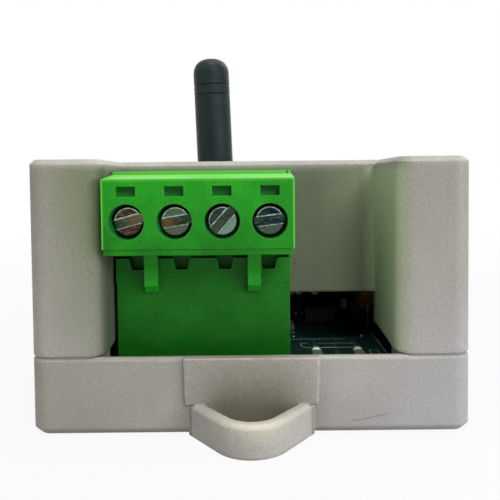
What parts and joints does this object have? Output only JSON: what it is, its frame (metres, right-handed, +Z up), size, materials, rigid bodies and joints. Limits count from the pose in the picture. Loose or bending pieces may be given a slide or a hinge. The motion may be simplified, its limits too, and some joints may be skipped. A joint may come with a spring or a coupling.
{
  "type": "wireless transceiver module",
  "caption": "Small plastic enclosure with a board, a pluggable screw terminal in its end recess, fixing lugs, and a jointed whip antenna at the far end.",
  "frame": {"origin": "centre of the case underside, on the surface it stands on", "axes": "+Z up, +Y along the case from the terminal end to the antenna end, +X to the right as the terminal end is seen"},
  "size_m": [0.048, 0.0888, 0.0555],
  "materials": {
    "case_plastic": "fine moulded satin",
    "terminal_green": "satin moulded",
    "antenna_rubber": "matte",
    "knuckle_plastic": "satin",
    "board_laminate": "glossy solder mask",
    "nickel_plate": "bright nickel",
    "screw_steel": "zinc plated",
    "tinned_copper": "tinned",
    "gold_plate": "gold plated",
    "ptfe_white": "waxy",
    "shield_tin": "tin plate",
    "chip_black": "fine matte",
    "capacitor_can": "brushed",
    "ferrite_grey": "sintered",
    "fuse_orange": "dipped epoxy",
    "lamp_lens": "clear resin",
    "ceramic_tan": "ceramic"
  },
  "bodies": {
    "case": {"case_base": "case_plastic", "case_cover": "case_plastic", "case_screws": "screw_steel", "circuit_board": "board_laminate", "terminal_header": "terminal_green", "header_pins": "tinned_copper", "spare_terminal_pads": "tinned_copper", "antenna_jack": "gold_plate", "jack_insulator": "ptfe_white", "jack_centre_contact": "gold_plate", "radio_board": "board_laminate", "radio_shield": "shield_tin", "microcontroller": "chip_black", "bus_driver_chip": "chip_black", "voltage_regulator": "chip_black", "power_inductor": "ferrite_grey", "storage_capacitors": "capacitor_can", "crystal": "shield_tin", "resettable_fuse": "fuse_orange", "status_lamps": "lamp_lens", "chip_resistors": "chip_black", "chip_capacitors": "ceramic_tan", "surge_diodes": "chip_black"},
    "plug": {"terminal_plug": "terminal_green", "plug_contacts": "tinned_copper"},
    "ferrule": {"antenna_ferrule": "gold_plate"},
    "coupling_nut": {"antenna_nut": "gold_plate"},
    "knuckle": {"antenna_knuckle": "knuckle_plastic", "antenna_hinge_pin": "nickel_plate"},
    "whip": {"antenna_whip": "antenna_rubber"},
    "screw_1": {"clamp_screw_1": "nickel_plate"},
    "cage_1": {"clamp_cage_1": "nickel_plate"},
    "screw_2": {"clamp_screw_2": "nickel_plate"},
    "cage_2": {"clamp_cage_2": "nickel_plate"},
    "screw_3": {"clamp_screw_3": "nickel_plate"},
    "cage_3": {"clamp_cage_3": "nickel_plate"},
    "screw_4": {"clamp_screw_4": "nickel_plate"},
    "cage_4": {"clamp_cage_4": "nickel_plate"}
  },
  "joints": [
    {"name": "plug_pull", "type": "slide", "parent": "case", "child": "plug", "axis": [0, 0, 1], "range_m": [0, 0.012]},
    {"name": "clamp_rise_1", "type": "slide", "parent": "plug", "child": "cage_1", "axis": [0, -1, 0], "range_m": [0, 0.00237]},
    {"name": "clamp_turn_1", "type": "hinge", "parent": "plug", "child": "screw_1", "pos_m": [-0.01308, -0.03, 0.02315], "axis": [0, 1, 0], "range_deg": [0, 1710.2]},
    {"name": "clamp_rise_2", "type": "slide", "parent": "plug", "child": "cage_2", "axis": [0, -1, 0], "range_m": [0, 0.00237]},
    {"name": "clamp_turn_2", "type": "hinge", "parent": "plug", "child": "screw_2", "pos_m": [-0.008, -0.03, 0.02315], "axis": [0, 1, 0], "range_deg": [0, 1710.2]},
    {"name": "clamp_rise_3", "type": "slide", "parent": "plug", "child": "cage_3", "axis": [0, -1, 0], "range_m": [0, 0.00237]},
    {"name": "clamp_turn_3", "type": "hinge", "parent": "plug", "child": "screw_3", "pos_m": [-0.00292, -0.03, 0.02315], "axis": [0, 1, 0], "range_deg": [0, 1710.2]},
    {"name": "clamp_rise_4", "type": "slide", "parent": "plug", "child": "cage_4", "axis": [0, -1, 0], "range_m": [0, 0.00237]},
    {"name": "clamp_turn_4", "type": "hinge", "parent": "plug", "child": "screw_4", "pos_m": [0.00216, -0.03, 0.02315], "axis": [0, 1, 0], "range_deg": [0, 1710.2]},
    {"name": "antenna_withdraw", "type": "slide", "parent": "case", "child": "ferrule", "axis": [0, 1, 0], "range_m": [0, 0.00459]},
    {"name": "nut_turn", "type": "hinge", "parent": "ferrule", "child": "coupling_nut", "pos_m": [-0.0073, 0.037, 0.01245], "axis": [0, 1, 0], "range_deg": [0, 2340.2]},
    {"name": "antenna_swivel", "type": "hinge", "parent": "ferrule", "child": "knuckle", "pos_m": [-0.0073, 0.042, 0.01245], "axis": [0, 1, 0], "continuous": true},
    {"name": "antenna_tilt", "type": "hinge", "parent": "knuckle", "child": "whip", "pos_m": [-0.0073, 0.046, 0.01245], "axis": [0.9994, 0, 0.0349], "range_deg": [-90, 0]}
  ],
  "couplings": [
    {"joint": "clamp_turn_1", "follows": "clamp_rise_1", "rad_per_m": 12566},
    {"joint": "clamp_turn_2", "follows": "clamp_rise_2", "rad_per_m": 12566},
    {"joint": "clamp_turn_3", "follows": "clamp_rise_3", "rad_per_m": 12566},
    {"joint": "clamp_turn_4", "follows": "clamp_rise_4", "rad_per_m": 12566},
    {"joint": "nut_turn", "follows": "antenna_withdraw", "rad_per_m": 8904.7}
  ]
}
